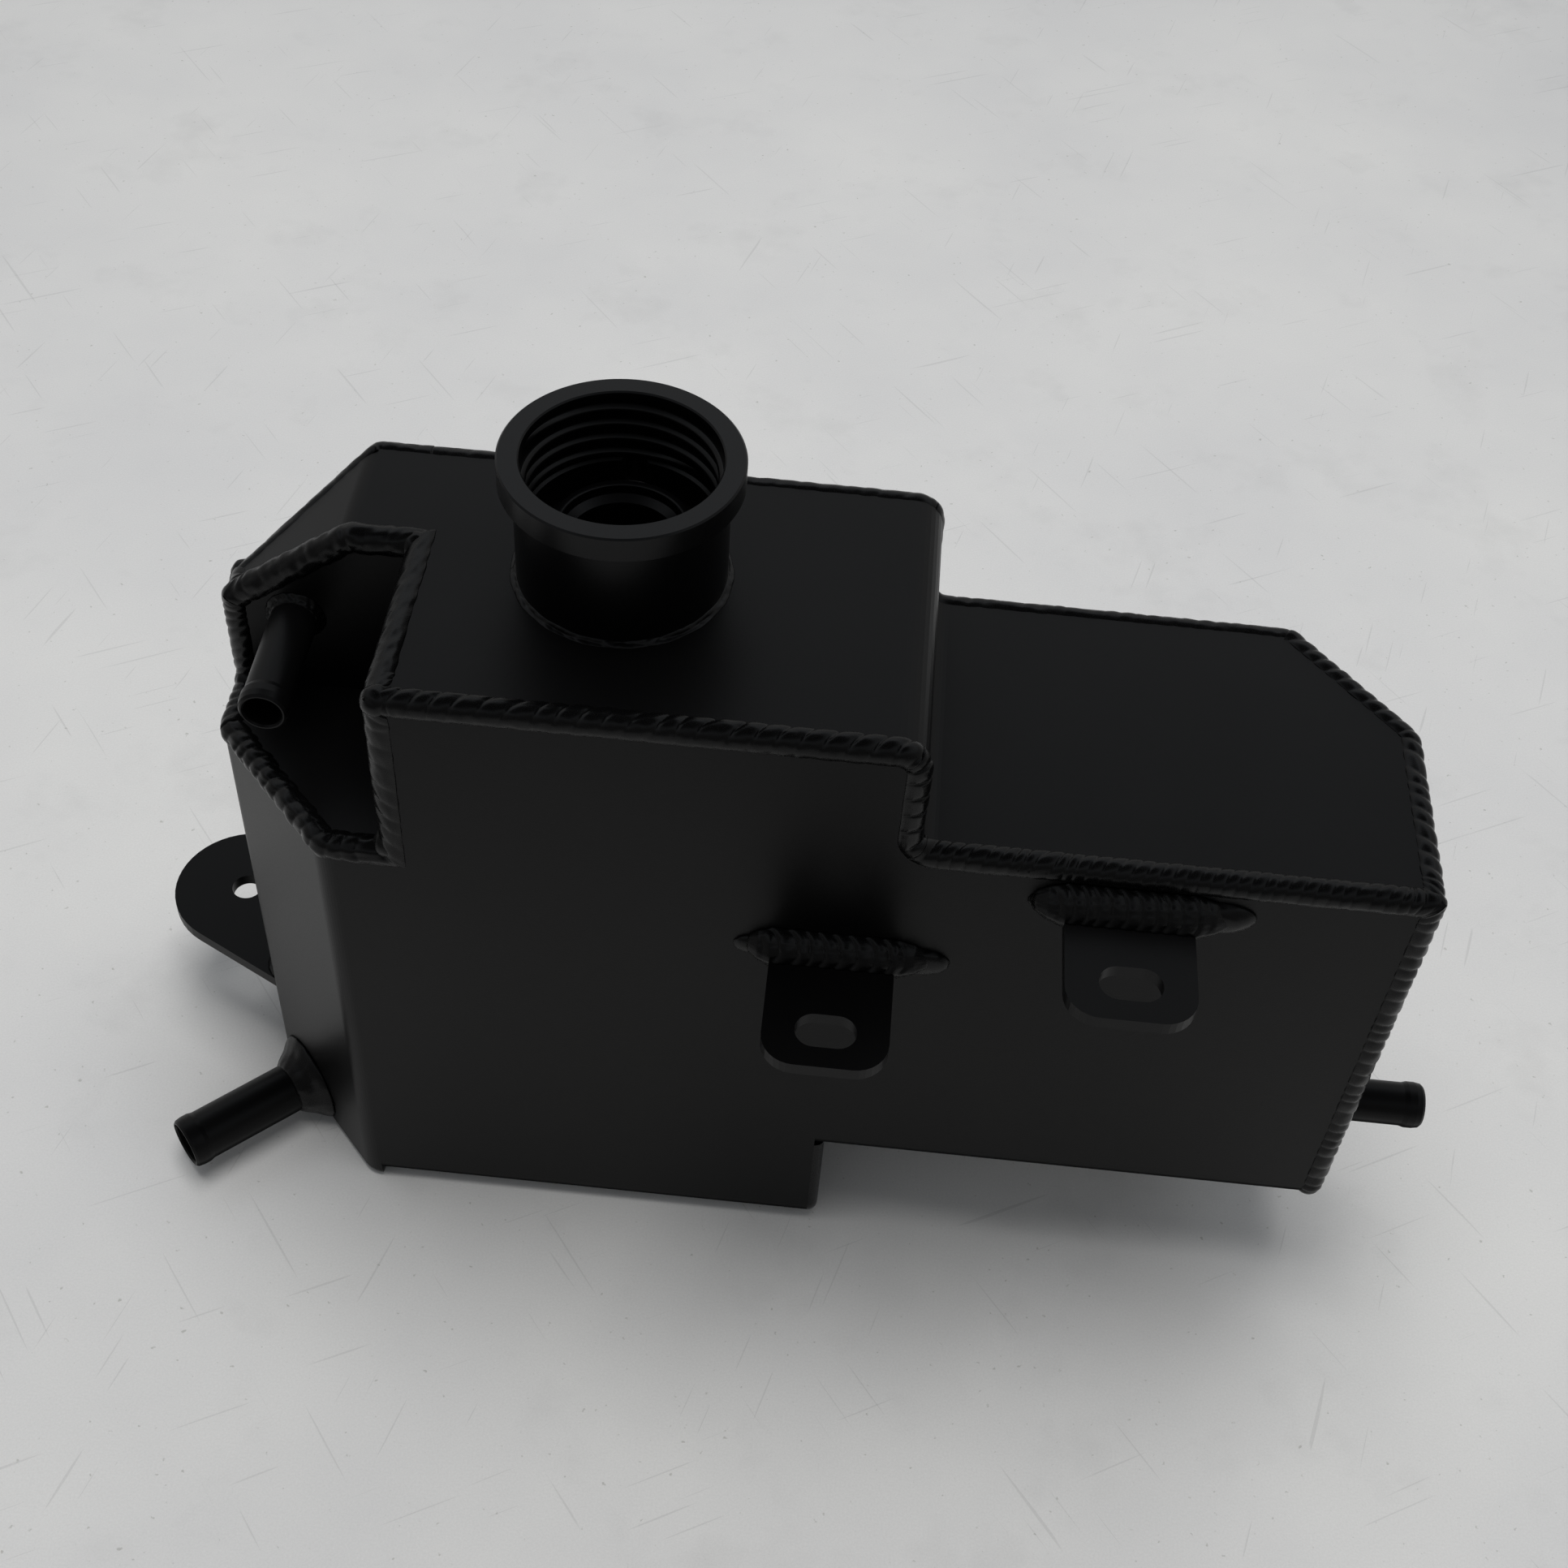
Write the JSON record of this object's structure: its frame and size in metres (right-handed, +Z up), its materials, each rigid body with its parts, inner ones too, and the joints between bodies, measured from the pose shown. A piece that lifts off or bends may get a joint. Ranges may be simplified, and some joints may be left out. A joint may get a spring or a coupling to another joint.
{
  "type": "coolant expansion tank",
  "caption": "Welded sheet coolant expansion tank with a tall block, a stepped side block, threaded filler neck, hose spigots and slotted mounting tabs.",
  "frame": {"origin": "middle of the tall block's flat underside, on the surface that the tank stands on", "axes": "+Z up along the filler neck, +X along the tank's length towards the low block, -Y the face with the two slotted tabs"},
  "size_m": [0.3906, 0.15, 0.256],
  "materials": {
    "coat_black": "satin powder coat",
    "fitting_black": "satin powder coat",
    "weld_black": "satin powder coat over weld beads",
    "turned_black": "turned and coated black"
  },
  "bodies": {
    "root": {"front_sheet": "coat_black", "rear_sheet": "coat_black", "top_sheet": "coat_black", "lower_step_panel": "coat_black", "pocket_floor": "coat_black", "pocket_side": "coat_black", "pocket_rear": "coat_black", "filler_neck": "turned_black", "overflow_spigot": "fitting_black", "pocket_spigot": "fitting_black", "corner_spigot": "fitting_black", "end_spigot": "fitting_black", "left_tab": "fitting_black", "right_tab": "fitting_black", "side_tab": "fitting_black", "weld_top_front": "weld_black", "weld_step_front": "weld_black", "weld_low_front": "weld_black", "weld_end": "weld_black", "weld_end_top": "weld_black", "weld_low_rear": "weld_black", "weld_step_rear": "weld_black", "weld_top_rear": "weld_black", "weld_slope_rear": "weld_black", "weld_left_top": "weld_black", "weld_left_rear": "weld_black", "weld_pocket_side": "weld_black", "weld_pocket_rear": "weld_black", "weld_pocket_left": "weld_black", "weld_pocket_floor": "weld_black", "weld_pocket_floor_left": "weld_black", "weld_pocket_front": "weld_black", "weld_bottom_front": "weld_black", "weld_bottom_rear": "weld_black", "weld_bottom_low": "weld_black", "weld_lower_step": "weld_black", "weld_lower_step_rear": "weld_black", "weld_left_tab": "weld_black", "weld_right_tab": "weld_black", "weld_side_tab_front": "weld_black", "weld_side_tab_rear": "weld_black", "weld_neck": "weld_black", "weld_overflow": "weld_black", "weld_pocket_spigot": "weld_black", "weld_corner_spigot": "weld_black", "weld_end_spigot": "weld_black"}
  },
  "joints": []
}
